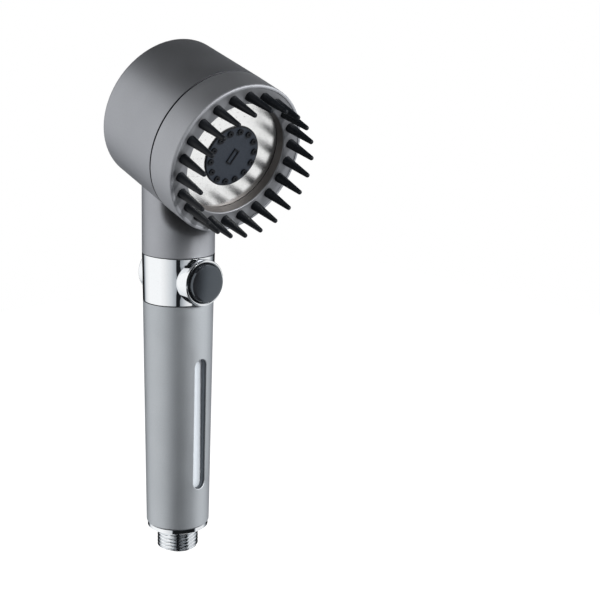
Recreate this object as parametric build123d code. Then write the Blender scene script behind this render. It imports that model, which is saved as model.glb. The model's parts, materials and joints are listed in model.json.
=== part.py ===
from build123d import *
import math
import os

# Handheld shower head: a drum-shaped head with a massage comb round a steel spray plate, a mode
# ring that turns, a push-through stop valve in a chrome collar, and a handle that holds a filter
# behind a window. Millimetres. The origin is the centre of the shoulder that the hose nut seats
# on, +Z runs up the handle, and the head sprays towards -Y and a little down.

# Overall sizes
HANDLE_LENGTH = 120.0         # hose shoulder to the underside of the collar
HANDLE_END_RADIUS = 16.05
HANDLE_TOP_RADIUS = 17.6
COLLAR_HEIGHT = 24.0
NECK_RADIUS = 18.0
HEAD_RADIUS = 37.2
HEAD_LENGTH = 58.3            # front rim to back face, along the spray axis
HEAD_TILT = 19.0              # degrees that the spray axis points below the horizontal
HEAD_AXIS_HEIGHT = 66.0       # collar top to where the spray axis crosses the handle axis
HEAD_REACH = 47.8             # that crossing to the front rim

# Clearances
RUNNING_GAP = 0.3             # between pieces that move past each other
SEAM_GAP = 0.5                # the open line between mode ring and drum
ASSEMBLY_GAP = 0.2            # between pieces that are pushed together once
REVEAL = 0.15                 # fine line at each end of the collar
CLOSE_GAP = 0.1               # between fixed pieces that fit closely, such as a screw in its hole

# Drum and neck moulding
DRUM_WALL = 2.6
DRUM_DRAFT = 0.7              # radius lost from the seam to the back face
BACK_WALL = 2.8
BACK_EDGE = 2.0
NECK_WALL = 2.4
SEAT_LEDGE = 2.2              # step that the diverter seat rests on
SEAT_LAND = 1.2               # drum wall kept closed behind the seat
POST_RADIUS = 3.2
POST_INSET = 10.2             # outside of the head to the posts' circle
POST_ANGLES = (90, 210, 330)

# Mode ring
RING_WALL = 2.2
RING_SKIRT = 1.6              # ring's back edge past the rotor's web
FACE_WALL = 2.6
RIM_EDGE = 0.8
BEAD_WIDTH = 1.6              # bead round the front face
BEAD_STEP = 0.4               # bead down to the face
BEAD_EDGE = 0.3
SEAM_EDGE = 0.3               # softened edges on both sides of the seam
FACE_WIDTH = 9.55             # outside of the head to the inner edge of the front face
LIP_DEPTH = 0.8               # how far that edge lies behind the rim
LIP_EDGE = 0.45

# Massage comb
BRISTLE_COUNT = 22
BRISTLE_INSET = 5.7           # outside of the head to the bristles' circle
BRISTLE_LENGTH = 16.1         # in front of the rim
BRISTLE_BASE_RADIUS = 2.3
BRISTLE_TIP_RADIUS = 1.05
BRISTLE_TURN = -5.2           # angle of the first bristle from the head's X axis
TIP_EDGE = 0.85               # share of the tip's radius that is rounded
COMB_BASE = 1.8
COMB_MARGIN = 0.6             # base ring past the bristle feet

# Spray plate and nozzle disc
PLATE_DEPTH = 5.0             # front rim to the steel plate
FUNNEL_RUN = 1.2              # inner edge of the face to the edge of the plate that shows
PLATE_SEAT = 2.0              # hidden margin that the funnel clamps
PLATE_REVEAL = 0.25           # fine shadow line between funnel and plate
PLATE_THICKNESS = 0.8
HOLE_RINGS = ((9.0, 20), (6.8, 26), (4.6, 30), (2.4, 34))     # inset from the edge, and count
HOLE_RADIUS = 0.22
DISC_RADIUS = 15.1
DISC_DEPTH = 4.25             # front rim to the disc's face
DISC_EDGE = 0.5
DISC_HUB = 1.2                # step from the disc's edge to its hub
NOZZLE_COUNT = 14
NOZZLE_INSET = 2.6            # edge of the disc to the nozzles' circle
NOZZLE_RADIUS = 1.5
NOZZLE_BORE = 0.5
NOZZLE_HEIGHT = 0.9
NOZZLE_TURN = 8.2
KEY_LENGTH = 7.6
KEY_WIDTH = 3.4
KEY_HEIGHT = 0.6
KEY_TURN = 62.0

# Rotor and the seat that feeds it
GASKET = 0.8
CHAMBER_DEPTH = 6.2           # steel plate to the rotor's web
WEB = 2.6
ROTOR_WALL = 2.4
CENTRE_WALL = 1.8             # outside the jets, so that they are fed
HUB_LENGTH = 2.3
HUB_RADIUS = 8.5
MODE_STEP = 60.0              # degrees between spray modes
MODE_COUNT = 3
PORT_RADIUS = 2.4
PORT_ANGLE = 30.0             # between two posts, seen from the front
RIB = 1.4
RIB_SPREAD = 14.0             # degrees each side of the jet port
CROSS_HOLE = 1.5
SEAT_THICKNESS = 5.0
SPINDLE_RADIUS = 5.0
SEAL_RADIUS = 4.2
SEAL_LENGTH = 4.0
SPRING_WALL = 0.6
SEAL_FLOOR = 1.4              # seat left behind the spring
RING_CORD = 0.8               # half thickness of an O-ring's cord
GROOVE_LENGTH = 2.0
WASHER_RADIUS = 8.2
WASHER = 0.8
SCREW_SHANK = 1.5
SCREW_HEAD = 2.8
SCREW_HEAD_HEIGHT = 2.0
SCREW_LENGTH = 9.0
RING_SCREW_SHANK = 1.0
RING_SCREW_HEAD = 2.0
RING_SCREW_HEAD_HEIGHT = 1.4
RING_SCREW_STEPS = (0, 7, 15)                        # gaps between bristles that hold a screw
RING_SCREW_FLOOR = 1.6        # front rim to the screw hole's end

# Collar and stop valve
COLLAR_WALL = 2.3
COLLAR_EDGE = 0.35
BEZEL_MARGIN = 0.55           # band left above and below each cup
BEZEL_WALL = 1.45
BEZEL_EDGE = 0.7
BEZEL_RISE_FRONT = 3.4        # band to the front cup's lip
BEZEL_RISE_REAR = 0.8
BUTTON_GAP = 0.85             # round each button, in its cup
BUTTON_RISE = 3.3             # front cup's lip to the stop button's face
BUTTON_SINK = 0.8             # rear cup's lip in to the release button's face
BUTTON_CROWN = 0.4
BUTTON_EDGE = 0.3
BUTTON_SKIN = 1.5
BUTTON_SOCKET = 4.6
STOP_TRAVEL = 3.2
SPIGOT_LENGTH = 12.0          # valve body down into the handle
SPIGOT_WALL = 3.2             # handle wall outside that spigot
UPPER_SPIGOT = 9.0            # valve body up into the neck
SPOOL_BORE = 7.6
SPOOL_WAIST = 4.2
SPOOL_STEM = 2.95
SPOOL_LAND_INNER = 5.6        # handle axis to each land
SPOOL_SETBACK = 2.7           # end of each land to the outside of the valve body
LOWER_PASSAGE = 8.0
UPPER_PASSAGE = 4.6
UPPER_PASSAGE_OFFSET = 2.0
METER_SLOT = 2.6              # the slot that the front land closes
METER_WIDTH = 9.0
METER_SETBACK = 0.4           # slot to the land's edge when open
PASSAGE_ROOF = 2.0

# Handle, window and filter
HANDLE_WALL = 2.45            # at the lower end
HANDLE_END_EDGE = 0.8
WINDOW_WIDTH = 7.6
WINDOW_EDGE = 0.35            # softened outer edge of the window
WINDOW_ABOVE_END = 23.6       # hose shoulder to the window
WINDOW_BELOW_COLLAR = 27.8
WINDOW_TURN = 5.5             # degrees that the grip is turned past the button
LINER_WALL = 1.5
LINER_GASKET = 1.0
FILTER_GAP = 0.3
FILTER_MARGIN = 0.3           # filter to the edge of its caps
FILTER_CORE = 4.0
CAP_HEIGHT = 8.0
CAP_RIM = 1.6
CAP_PORT = 2.2
CAP_PORTS = 6

# Inlet fitting, with the pipe thread's major radius
THREAD_RADIUS = 10.478
THREAD_LENGTH = 12.0
THREAD_LEAD = 0.8
INLET_BORE = 7.8
FLANGE = 2.5
FLANGE_INSET = 0.55           # outside of the handle's end to the flange
FITTING_LENGTH = 13.2         # shoulder to the top of the fitting
SCREEN_STEP = 1.4
SCREEN_HEIGHT = 8.0           # shoulder to the inlet screen
SCREEN = 0.8
SCREEN_HOLE = 0.9
SCREEN_CIRCLES = ((3.0, 6), (6.0, 12))

# Places along the handle
COLLAR_BOTTOM = HANDLE_LENGTH
COLLAR_TOP = COLLAR_BOTTOM + COLLAR_HEIGHT
VALVE_HEIGHT = COLLAR_BOTTOM + COLLAR_HEIGHT / 2
HEAD_CROSSING = COLLAR_TOP + HEAD_AXIS_HEIGHT
SPIGOT_BOTTOM = COLLAR_BOTTOM - SPIGOT_LENGTH
HANDLE_BORE = HANDLE_END_RADIUS - HANDLE_WALL
FLANGE_RADIUS = HANDLE_END_RADIUS - FLANGE_INSET
WINDOW_LOW = WINDOW_ABOVE_END
WINDOW_HIGH = HANDLE_LENGTH - WINDOW_BELOW_COLLAR
LINER_RADIUS = HANDLE_BORE - ASSEMBLY_GAP
LINER_BORE = LINER_RADIUS - LINER_WALL
LINER_LOW = FITTING_LENGTH + LINER_GASKET
LINER_HIGH = SPIGOT_BOTTOM - LINER_GASKET
CAP_RADIUS = LINER_BORE - FILTER_GAP
CAP_PORT_CIRCLE = (CAP_RADIUS + FILTER_CORE) / 2
FILTER_RADIUS = CAP_RADIUS - FILTER_MARGIN
SPIGOT_RADIUS = HANDLE_TOP_RADIUS - SPIGOT_WALL
COLLAR_BORE = HANDLE_TOP_RADIUS - COLLAR_WALL
BODY_RADIUS = COLLAR_BORE - ASSEMBLY_GAP
NECK_BORE = NECK_RADIUS - NECK_WALL
NECK_SPIGOT = NECK_BORE - ASSEMBLY_GAP
SPOOL_RADIUS = SPOOL_BORE - RUNNING_GAP
SPOOL_LAND_OUTER = BODY_RADIUS - SPOOL_SETBACK
SPOOL_SEAL = (SPOOL_LAND_INNER + SPOOL_LAND_OUTER) / 2
BEZEL_RADIUS = COLLAR_HEIGHT / 2 - BEZEL_MARGIN
BEZEL_BORE = BEZEL_RADIUS - BEZEL_WALL
BEZEL_FRONT = HANDLE_TOP_RADIUS + BEZEL_RISE_FRONT
BEZEL_REAR = HANDLE_TOP_RADIUS + BEZEL_RISE_REAR
BUTTON_RADIUS = BEZEL_BORE - BUTTON_GAP
BUTTON_FRONT = BEZEL_FRONT + BUTTON_RISE
BUTTON_REAR = BEZEL_REAR - BUTTON_SINK

# Places along the spray axis, behind the front rim
COMB_BACK = FACE_WALL + COMB_BASE
PLATE_BACK = PLATE_DEPTH + PLATE_THICKNESS
GASKET_BACK = PLATE_BACK + GASKET
WEB_DEPTH = PLATE_BACK + CHAMBER_DEPTH
WEB_BACK = WEB_DEPTH + WEB
RING_DEPTH = WEB_BACK + RING_SKIRT
HUB_BACK = WEB_BACK + HUB_LENGTH
SEAT_FRONT = HUB_BACK + RUNNING_GAP
SEAT_BACK = SEAT_FRONT + SEAT_THICKNESS
SHELL_FRONT = RING_DEPTH + SEAM_GAP
BACK_INSIDE = HEAD_LENGTH - BACK_WALL
BACK_RADIUS = HEAD_RADIUS - DRUM_DRAFT
SEAL_FRONT = WEB_BACK + RUNNING_GAP
SPRING_BACK = SEAT_BACK - SEAL_FLOOR
SPRING_FRONT = SEAL_FRONT + SEAL_LENGTH
WASHER_BACK = WEB_DEPTH - RUNNING_GAP
WASHER_FRONT = WASHER_BACK - WASHER
SEAT_BORE = HEAD_RADIUS - DRUM_WALL
SEAT_RADIUS = SEAT_BORE - ASSEMBLY_GAP
CAVITY_RADIUS = SEAT_BORE - SEAT_LEDGE
POST_CIRCLE = HEAD_RADIUS - POST_INSET
RING_BORE = HEAD_RADIUS - RING_WALL
BEAD_RADIUS = HEAD_RADIUS - BEAD_WIDTH
LIP_RADIUS = HEAD_RADIUS - FACE_WIDTH
PLATE_RADIUS = LIP_RADIUS - FUNNEL_RUN
PLATE_EDGE = PLATE_RADIUS + PLATE_SEAT
BRISTLE_CIRCLE = HEAD_RADIUS - BRISTLE_INSET
COMB_INNER = BRISTLE_CIRCLE - BRISTLE_BASE_RADIUS - COMB_MARGIN
COMB_OUTER = BRISTLE_CIRCLE + BRISTLE_BASE_RADIUS + COMB_MARGIN
DISC_HUB_RADIUS = DISC_RADIUS - DISC_HUB
CENTRE_INNER = DISC_RADIUS - CENTRE_WALL
NOZZLE_CIRCLE = DISC_RADIUS - NOZZLE_INSET
PORT_CIRCLE = DISC_RADIUS + PORT_RADIUS

# The head's frame: its origin is the centre of the front rim and its Z axis is the spray axis.
SPRAY = Vector(0, -1, 0).rotate(Axis.X, HEAD_TILT)
FRONT_CENTRE = Vector(0, 0, HEAD_CROSSING) + SPRAY * HEAD_REACH
HEAD = Plane(origin=FRONT_CENTRE, x_dir=(1, 0, 0), z_dir=SPRAY).location
# The valve's frame: its Z axis runs from the stop button back through the collar.
VALVE = Location((0, 0, VALVE_HEIGHT), (-90, 0, 0))

FAR = 4 * HEAD_RADIUS         # well past everything, for trimming cuts
MATCH = 1e-4                  # tolerance when an edge is picked by its size
BRISTLE_PITCH = 360 / BRISTLE_COUNT
BRISTLE_ANGLES = [BRISTLE_TURN + BRISTLE_PITCH * step for step in range(BRISTLE_COUNT)]
RING_SCREW_ANGLES = [BRISTLE_TURN + BRISTLE_PITCH * (step + 0.5) for step in RING_SCREW_STEPS]
NOZZLE_ANGLES = [NOZZLE_TURN + 360 / NOZZLE_COUNT * step for step in range(NOZZLE_COUNT)]
MODE_ANGLES = [PORT_ANGLE - MODE_STEP * mode for mode in range(MODE_COUNT)]


def spun(*outline):
    """A solid turned about Z from its half section, given as (radius, height) points."""
    points = [(radius, 0, height) for radius, height in outline]
    return revolve(make_face(Polyline(*points, close=True)), Axis.Z)


def tube(outer, inner, low, high):
    """A plain ring about Z, or a disc where the inner radius is 0."""
    return spun((inner, low), (outer, low), (outer, high), (inner, high))


def head_spun(*outline):
    """A solid turned about the spray axis, given as (radius, depth behind the rim) points."""
    return spun(*[(radius, -depth) for radius, depth in outline])


def head_tube(outer, inner, front, back):
    """A plain ring about the spray axis, between two depths behind the rim."""
    return tube(outer, inner, -back, -front)


def around(piece, radius, angles):
    """Copies of a piece that stands on Z, set on a circle."""
    return [Rot(0, 0, angle) * Pos(radius, 0, 0) * piece for angle in angles]


def rims(piece, radius, height):
    """The round edges of a turned piece at one radius and height."""
    edges = piece.edges().filter_by(GeomType.CIRCLE)
    at_radius = [edge for edge in edges if abs(edge.radius - radius) < MATCH]
    return [edge for edge in at_radius if abs(edge.arc_center.Z - height) < MATCH]


def o_ring(radius, height):
    """A seal ring about Z whose outside is at the given radius, with an eight-sided cord."""
    middle = radius - RING_CORD
    turns = [math.pi / 4 * (corner + 0.5) for corner in range(8)]
    return spun(*[(middle + RING_CORD * math.cos(turn), height + RING_CORD * math.sin(turn))
                  for turn in turns])


def groove(radius, height):
    """The square groove that such a ring lies in."""
    depth = 2 * RING_CORD
    half = GROOVE_LENGTH / 2
    return tube(radius + depth, radius - depth, height - half, height + half)


def screw(shank, length, head, head_height):
    """A screw along Z whose head stands on the plane z = 0."""
    return tube(shank, 0, -length, 0) + tube(head, 0, 0, head_height)


def head_shell():
    """Drum and neck in one hollow moulding, with the posts that the diverter seat screws to."""
    drum = head_spun(
        (0, SHELL_FRONT), (HEAD_RADIUS, SHELL_FRONT), (BACK_RADIUS, HEAD_LENGTH), (0, HEAD_LENGTH))
    drum = fillet(rims(drum, BACK_RADIUS, -HEAD_LENGTH), BACK_EDGE)
    drum = fillet(rims(drum, HEAD_RADIUS, -SHELL_FRONT), SEAM_EDGE)
    hollow = head_spun(
        (0, SHELL_FRONT), (SEAT_BORE, SHELL_FRONT), (SEAT_BORE, SEAT_BACK),
        (CAVITY_RADIUS, SEAT_BACK), (CAVITY_RADIUS, BACK_INSIDE), (0, BACK_INSIDE))
    ring_space = head_tube(HEAD_RADIUS + RUNNING_GAP, 0, -FAR, SHELL_FRONT)
    behind_drum = head_tube(FAR, 0, HEAD_LENGTH - BACK_EDGE / 2, FAR)
    neck = tube(NECK_RADIUS, 0, COLLAR_TOP + REVEAL, HEAD_CROSSING)
    neck -= HEAD * (ring_space + behind_drum)
    kept_wall = head_tube(HEAD_RADIUS, 0, 0, SEAT_BACK + SEAT_LAND)
    kept_back = head_tube(FAR, 0, BACK_INSIDE, FAR)
    bore = tube(NECK_BORE, 0, COLLAR_TOP, HEAD_CROSSING) - HEAD * (kept_wall + kept_back)
    post = head_tube(POST_RADIUS, SCREW_SHANK + CLOSE_GAP, SEAT_BACK, BACK_INSIDE)
    shell = HEAD * drum + neck - HEAD * hollow - bore
    return shell + [HEAD * copy for copy in around(post, POST_CIRCLE, POST_ANGLES)]


def diverter_seat():
    """Fixed plate that closes the drum and feeds one port of the rotor from its spindle side."""
    seat = head_tube(SEAT_RADIUS, 0, SEAT_FRONT, SEAT_BACK)
    seat += head_tube(SPINDLE_RADIUS, 0, WASHER_BACK, SEAT_FRONT)
    seat -= groove(SEAT_RADIUS, -(SEAT_FRONT + SEAT_BACK) / 2)
    seat -= head_tube(SCREW_SHANK + CLOSE_GAP, 0, WASHER_BACK, SEAT_BACK)
    pocket = head_tube(SEAL_RADIUS + CLOSE_GAP, 0, SEAT_FRONT, SPRING_BACK)
    pocket += head_tube(PORT_RADIUS, 0, SPRING_BACK, SEAT_BACK)
    seat -= around(pocket, PORT_CIRCLE, [PORT_ANGLE])
    sink = head_tube(SCREW_HEAD + CLOSE_GAP, 0, SEAT_FRONT, SEAT_FRONT + SCREW_HEAD_HEIGHT)
    sink += head_tube(SCREW_SHANK + CLOSE_GAP, 0, SEAT_FRONT, SEAT_BACK)
    return HEAD * (seat - around(sink, POST_CIRCLE, POST_ANGLES))


def seat_o_ring():
    """Seal between the seat's edge and the drum."""
    return HEAD * o_ring(SEAT_RADIUS, -(SEAT_FRONT + SEAT_BACK) / 2)


def seat_screws():
    """Screws that hold the seat to the drum's posts."""
    one = screw(SCREW_SHANK, SCREW_LENGTH, SCREW_HEAD, SCREW_HEAD_HEIGHT)
    one = Pos(0, 0, -SEAT_FRONT - SCREW_HEAD_HEIGHT) * one
    return [HEAD * copy for copy in around(one, POST_CIRCLE, POST_ANGLES)]


def port_seal():
    """Rubber cup that bears on the rotor's back."""
    cup = head_tube(SEAL_RADIUS, PORT_RADIUS, SEAL_FRONT, SPRING_FRONT)
    return HEAD * around(cup, PORT_CIRCLE, [PORT_ANGLE])[0]


def seal_spring():
    """Coned spring that presses the port seal forward from the pocket's floor."""
    inner = PORT_RADIUS + CLOSE_GAP
    outer = SEAL_RADIUS - CLOSE_GAP
    cone = head_spun(
        (inner, SPRING_FRONT), (inner + SPRING_WALL, SPRING_FRONT), (outer, SPRING_BACK),
        (outer - SPRING_WALL, SPRING_BACK))
    return HEAD * around(cone, PORT_CIRCLE, [PORT_ANGLE])[0]


def thrust_washer():
    """Washer that keeps the rotor on the spindle."""
    return HEAD * head_tube(WASHER_RADIUS, SCREW_SHANK + CLOSE_GAP, WASHER_FRONT, WASHER_BACK)


def pivot_screw():
    """Screw that holds the washer to the spindle's end."""
    one = screw(SCREW_SHANK, SCREW_LENGTH, SCREW_HEAD, SCREW_HEAD_HEIGHT)
    return HEAD * Pos(0, 0, -WASHER_FRONT) * one


def front_ring():
    """Outer ring of the mode selector, with a bead, a dished face and an inner funnel."""
    ring = head_spun(
        (HEAD_RADIUS, 0), (HEAD_RADIUS, RING_DEPTH), (RING_BORE, RING_DEPTH),
        (RING_BORE, FACE_WALL), (COMB_INNER - ASSEMBLY_GAP, FACE_WALL),
        (PLATE_EDGE, PLATE_DEPTH), (PLATE_RADIUS + 2 * PLATE_REVEAL, PLATE_DEPTH),
        (PLATE_RADIUS + 2 * PLATE_REVEAL, PLATE_DEPTH - PLATE_REVEAL),
        (PLATE_RADIUS, PLATE_DEPTH - PLATE_REVEAL), (LIP_RADIUS, LIP_DEPTH),
        (BEAD_RADIUS, BEAD_STEP), (BEAD_RADIUS, 0))
    ring = fillet(rims(ring, HEAD_RADIUS, 0), RIM_EDGE)
    ring = fillet(rims(ring, BEAD_RADIUS, 0), BEAD_EDGE)
    ring = fillet(rims(ring, HEAD_RADIUS, -RING_DEPTH), SEAM_EDGE)
    ring = fillet(rims(ring, LIP_RADIUS, -LIP_DEPTH), LIP_EDGE)
    hole = head_tube(BRISTLE_BASE_RADIUS + CLOSE_GAP, 0, -FACE_WALL, FACE_WALL)
    ring -= around(hole, BRISTLE_CIRCLE, BRISTLE_ANGLES)
    pilot = RING_SCREW_SHANK + CLOSE_GAP
    boss = head_tube(RING_SCREW_HEAD, 0, FACE_WALL, COMB_BACK)
    ring += around(boss, BRISTLE_CIRCLE, RING_SCREW_ANGLES)
    drill = head_tube(pilot, 0, RING_SCREW_FLOOR, COMB_BACK)
    return HEAD * (ring - around(drill, BRISTLE_CIRCLE, RING_SCREW_ANGLES))


def bristle():
    """One soft tapered bristle with a round tip and a straight foot in its hole."""
    spike = spun(
        (0, -FACE_WALL), (BRISTLE_BASE_RADIUS, -FACE_WALL), (BRISTLE_BASE_RADIUS, 0),
        (BRISTLE_TIP_RADIUS, BRISTLE_LENGTH), (0, BRISTLE_LENGTH))
    return fillet(rims(spike, BRISTLE_TIP_RADIUS, BRISTLE_LENGTH), TIP_EDGE * BRISTLE_TIP_RADIUS)


def massage_comb():
    """Silicone base ring behind the front face, with the bristles that stand through it."""
    comb = head_tube(COMB_OUTER, COMB_INNER, FACE_WALL, COMB_BACK)
    room = head_tube(RING_SCREW_HEAD + CLOSE_GAP, 0, FACE_WALL, COMB_BACK)
    comb -= around(room, BRISTLE_CIRCLE, RING_SCREW_ANGLES)
    return HEAD * (comb + around(bristle(), BRISTLE_CIRCLE, BRISTLE_ANGLES))


def spray_plate():
    """Thin steel plate with rings of fine rain holes."""
    plate = head_tube(PLATE_EDGE, DISC_HUB_RADIUS + CLOSE_GAP, PLATE_DEPTH, PLATE_BACK)
    hole = head_tube(HOLE_RADIUS, 0, PLATE_DEPTH, PLATE_BACK)
    for inset, count in HOLE_RINGS:
        turns = [360 / count * step for step in range(count)]
        plate -= around(hole, PLATE_RADIUS - inset, turns)
    return HEAD * plate


def nozzle_disc():
    """Centre disc with a ring of soft jet nozzles and a small raised key boss."""
    disc = head_tube(DISC_RADIUS, 0, DISC_DEPTH, PLATE_DEPTH)
    disc = fillet(rims(disc, DISC_RADIUS, -DISC_DEPTH), DISC_EDGE)
    disc += head_tube(DISC_HUB_RADIUS, 0, PLATE_DEPTH, PLATE_BACK)
    nozzle = head_tube(NOZZLE_RADIUS, 0, DISC_DEPTH - NOZZLE_HEIGHT, DISC_DEPTH)
    disc += around(nozzle, NOZZLE_CIRCLE, NOZZLE_ANGLES)
    jet = head_tube(NOZZLE_BORE, 0, DISC_DEPTH - NOZZLE_HEIGHT, PLATE_BACK)
    disc -= around(jet, NOZZLE_CIRCLE, NOZZLE_ANGLES)
    key = extrude(Rectangle(KEY_LENGTH, KEY_WIDTH), KEY_HEIGHT)
    key -= extrude(Rectangle(KEY_LENGTH - KEY_HEIGHT * 2, KEY_WIDTH - KEY_HEIGHT * 2), KEY_HEIGHT)
    return HEAD * (disc + Pos(0, 0, -DISC_DEPTH) * Rot(0, 0, KEY_TURN) * key)


def rotor():
    """Water carrier behind the plate: a web with three ports and walls that part the chambers."""
    inner_wall = PLATE_EDGE - ROTOR_WALL
    carrier = head_tube(COMB_OUTER, SPINDLE_RADIUS + RUNNING_GAP, WEB_DEPTH, WEB_BACK)
    carrier += head_tube(HUB_RADIUS, SPINDLE_RADIUS + RUNNING_GAP, WEB_BACK, HUB_BACK)
    carrier += head_tube(COMB_OUTER, COMB_INNER + COMB_MARGIN, COMB_BACK, WEB_DEPTH)
    carrier += head_tube(PLATE_EDGE, inner_wall, GASKET_BACK, WEB_DEPTH)
    carrier += head_tube(DISC_RADIUS, CENTRE_INNER, PLATE_BACK, WEB_DEPTH)
    wall_middle = (DISC_RADIUS + inner_wall) / 2
    rib = Pos(0, 0, -WEB_DEPTH) * Box(
        inner_wall - DISC_RADIUS + RIB, RIB, WEB_DEPTH - GASKET_BACK,
        align=(Align.CENTER, Align.CENTER, Align.MIN))
    jet_angle = MODE_ANGLES[1]
    carrier += around(rib, wall_middle, [jet_angle - RIB_SPREAD, jet_angle + RIB_SPREAD])
    port = head_tube(PORT_RADIUS, 0, WEB_DEPTH, WEB_BACK)
    carrier -= around(port, PORT_CIRCLE, MODE_ANGLES)
    drill_depth = (WEB_DEPTH + PLATE_BACK) / 2
    drill = Pos(0, 0, -drill_depth) * Rot(0, 90, 0) * Cylinder(CROSS_HOLE, 2 * CENTRE_WALL)
    carrier -= around(drill, (DISC_RADIUS + CENTRE_INNER) / 2, MODE_ANGLES[1:])
    hole = head_tube(RING_SCREW_SHANK + CLOSE_GAP, 0, COMB_BACK, WEB_BACK)
    return HEAD * (carrier - around(hole, BRISTLE_CIRCLE, RING_SCREW_ANGLES))


def plate_gasket():
    """Flat seal between the steel plate and the rotor."""
    return HEAD * head_tube(PLATE_EDGE, PLATE_EDGE - ROTOR_WALL, PLATE_BACK, GASKET_BACK)


def ring_screws():
    """Screws that clamp rotor, comb and front ring together."""
    length = WEB_BACK - RING_SCREW_FLOOR - CLOSE_GAP
    one = screw(RING_SCREW_SHANK, length, RING_SCREW_HEAD, RING_SCREW_HEAD_HEIGHT)
    one = Pos(0, 0, -WEB_BACK) * Rot(180, 0, 0) * one
    return [HEAD * copy for copy in around(one, BRISTLE_CIRCLE, RING_SCREW_ANGLES)]


def bezel(lip):
    """Cup round a button, from inside the collar to its rounded lip."""
    cup = tube(BEZEL_RADIUS, 0, 0, lip)
    return fillet(rims(cup, BEZEL_RADIUS, lip), BEZEL_EDGE)


def chrome_collar():
    """Tapered chrome band with a cup for the button on each side."""
    low = COLLAR_BOTTOM + REVEAL
    high = COLLAR_TOP - REVEAL
    band = spun((0, low), (HANDLE_TOP_RADIUS, low), (NECK_RADIUS, high), (0, high))
    band = fillet(rims(band, HANDLE_TOP_RADIUS, low) + rims(band, NECK_RADIUS, high), COLLAR_EDGE)
    band += VALVE * bezel(BEZEL_REAR)
    band += VALVE * Rot(180, 0, 0) * bezel(BEZEL_FRONT)
    band -= tube(COLLAR_BORE, 0, low, high)
    return band - VALVE * tube(BEZEL_BORE, 0, -FAR, FAR)


def valve_body():
    """Cross-bored block inside the collar, with spigots into neck and handle."""
    body = tube(BODY_RADIUS, 0, COLLAR_BOTTOM, COLLAR_TOP)
    body += tube(SPIGOT_RADIUS, 0, SPIGOT_BOTTOM, COLLAR_BOTTOM)
    body += tube(NECK_SPIGOT, 0, COLLAR_TOP, COLLAR_TOP + UPPER_SPIGOT)
    body -= groove(NECK_SPIGOT, COLLAR_TOP + UPPER_SPIGOT / 2)
    body -= groove(SPIGOT_RADIUS, COLLAR_BOTTOM - SPIGOT_LENGTH / 2)
    body -= VALVE * tube(SPOOL_BORE, 0, -FAR, FAR)
    roof = VALVE_HEIGHT - SPOOL_BORE - PASSAGE_ROOF
    body -= tube(LOWER_PASSAGE, 0, SPIGOT_BOTTOM, roof)
    slot_middle = METER_SETBACK + METER_SLOT / 2 - SPOOL_LAND_INNER
    body -= Pos(0, slot_middle, roof) * Box(
        METER_WIDTH, METER_SLOT, VALVE_HEIGHT - roof, align=(Align.CENTER, Align.CENTER, Align.MIN))
    outlet = tube(UPPER_PASSAGE, 0, VALVE_HEIGHT, COLLAR_TOP + UPPER_SPIGOT)
    return body - Pos(0, UPPER_PASSAGE_OFFSET, 0) * outlet


def neck_o_ring():
    """Seal between the valve body and the neck."""
    return o_ring(NECK_SPIGOT, COLLAR_TOP + UPPER_SPIGOT / 2)


def handle_o_ring():
    """Seal between the valve body and the handle."""
    return o_ring(SPIGOT_RADIUS, COLLAR_BOTTOM - SPIGOT_LENGTH / 2)


def valve_spool():
    """Sliding spool: two lands, a waist that lets water through, and a stem for each button."""
    front_end = -BUTTON_FRONT + BUTTON_CROWN + BUTTON_SKIN
    rear_end = BUTTON_REAR - BUTTON_SKIN
    spool = spun(
        (0, front_end), (SPOOL_STEM, front_end), (SPOOL_STEM, -SPOOL_LAND_OUTER),
        (SPOOL_RADIUS, -SPOOL_LAND_OUTER), (SPOOL_RADIUS, -SPOOL_LAND_INNER),
        (SPOOL_WAIST, -SPOOL_LAND_INNER), (SPOOL_WAIST, SPOOL_LAND_INNER),
        (SPOOL_RADIUS, SPOOL_LAND_INNER), (SPOOL_RADIUS, SPOOL_LAND_OUTER),
        (SPOOL_STEM, SPOOL_LAND_OUTER), (SPOOL_STEM, rear_end), (0, rear_end))
    return VALVE * (spool - groove(SPOOL_RADIUS, -SPOOL_SEAL) - groove(SPOOL_RADIUS, SPOOL_SEAL))


def spool_o_rings():
    """Seals on the spool's two lands."""
    return [VALVE * o_ring(SPOOL_RADIUS, side * SPOOL_SEAL) for side in (-1, 1)]


def stop_button():
    """Black cap on the spool's front stem, hollow behind its crowned face."""
    back = BODY_RADIUS + STOP_TRAVEL + RUNNING_GAP
    inside = BUTTON_FRONT - BUTTON_CROWN - BUTTON_SKIN
    face = ThreePointArc((-BUTTON_RADIUS, 0, BUTTON_FRONT - BUTTON_CROWN), (0, 0, BUTTON_FRONT),
                         (BUTTON_RADIUS, 0, BUTTON_FRONT - BUTTON_CROWN))
    side = Polyline((BUTTON_RADIUS, 0, BUTTON_FRONT - BUTTON_CROWN), (BUTTON_RADIUS, 0, back),
                    (0, 0, back), (0, 0, BUTTON_FRONT))
    half = make_face(face.trim(0.5, 1) + side)
    cap = revolve(half, Axis.Z)
    cap = fillet(rims(cap, BUTTON_RADIUS, BUTTON_FRONT - BUTTON_CROWN), BUTTON_EDGE)
    cap -= tube(BUTTON_RADIUS - BUTTON_SKIN, BUTTON_SOCKET, back, inside)
    cap -= tube(SPOOL_STEM + CLOSE_GAP, 0, back, inside)
    return VALVE * Rot(180, 0, 0) * cap


def release_button():
    """Flat cap on the spool's rear stem, which opens the water again."""
    cap = tube(BUTTON_RADIUS, 0, BODY_RADIUS + RUNNING_GAP, BUTTON_REAR)
    cap = fillet(rims(cap, BUTTON_RADIUS, BUTTON_REAR), BUTTON_EDGE)
    stem = tube(SPOOL_STEM + CLOSE_GAP, 0, BODY_RADIUS, BUTTON_REAR - BUTTON_SKIN)
    return VALVE * (cap - stem)


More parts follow.
